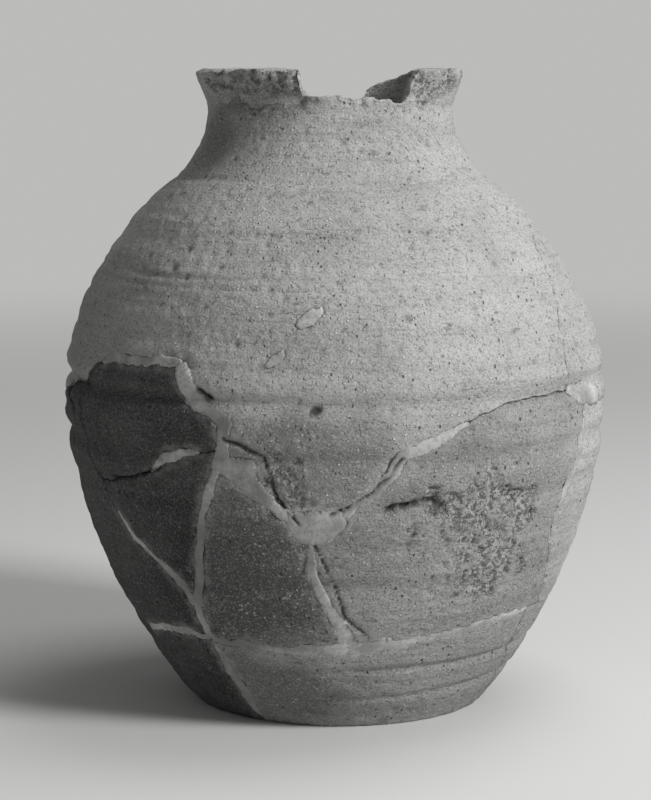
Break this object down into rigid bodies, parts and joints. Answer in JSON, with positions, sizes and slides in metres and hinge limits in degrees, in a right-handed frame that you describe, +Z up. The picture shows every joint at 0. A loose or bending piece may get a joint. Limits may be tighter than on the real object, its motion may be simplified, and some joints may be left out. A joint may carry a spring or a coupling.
{
  "type": "jar",
  "caption": "Round-bodied clay jar with a narrow neck and a broken rim, rejoined from sherds with plaster fills; stands on a flat base.",
  "frame": {"origin": "middle of the flat base, on the surface that the jar stands on", "axes": "+Z up through the neck, -Y towards the front with the slanting plaster fill, +X to the right"},
  "size_m": [0.2148, 0.2148, 0.25],
  "materials": {
    "pale_clay": "matt, gritty",
    "mid_clay": "matt, gritty",
    "dark_clay": "matt, gritty",
    "plaster": "matt, smooth"
  },
  "bodies": {
    "root": {"neck_and_shoulder": "pale_clay", "right_shoulder": "pale_clay", "left_belly": "dark_clay", "left_lower": "dark_clay", "left_side": "dark_clay", "front_lower": "mid_clay", "front_belly": "mid_clay", "right_side": "pale_clay", "back_left": "dark_clay", "back_right": "mid_clay", "foot_front": "mid_clay", "foot_left": "dark_clay", "foot_right": "mid_clay", "foot_back": "mid_clay", "centre_fill": "plaster", "diagonal_fill": "plaster", "shoulder_fill": "plaster", "rising_fill": "plaster", "right_patch_fill": "plaster", "right_edge_fill": "plaster", "left_crack_fill": "plaster", "left_upright_fill": "plaster", "left_slanting_fill": "plaster", "lower_crack_fill": "plaster", "ring_fill_left": "plaster", "ring_fill_front": "plaster", "ring_fill_right": "plaster", "foot_fill": "plaster", "lower_spot_fill": "plaster", "upper_spot_fill": "plaster"}
  },
  "joints": []
}
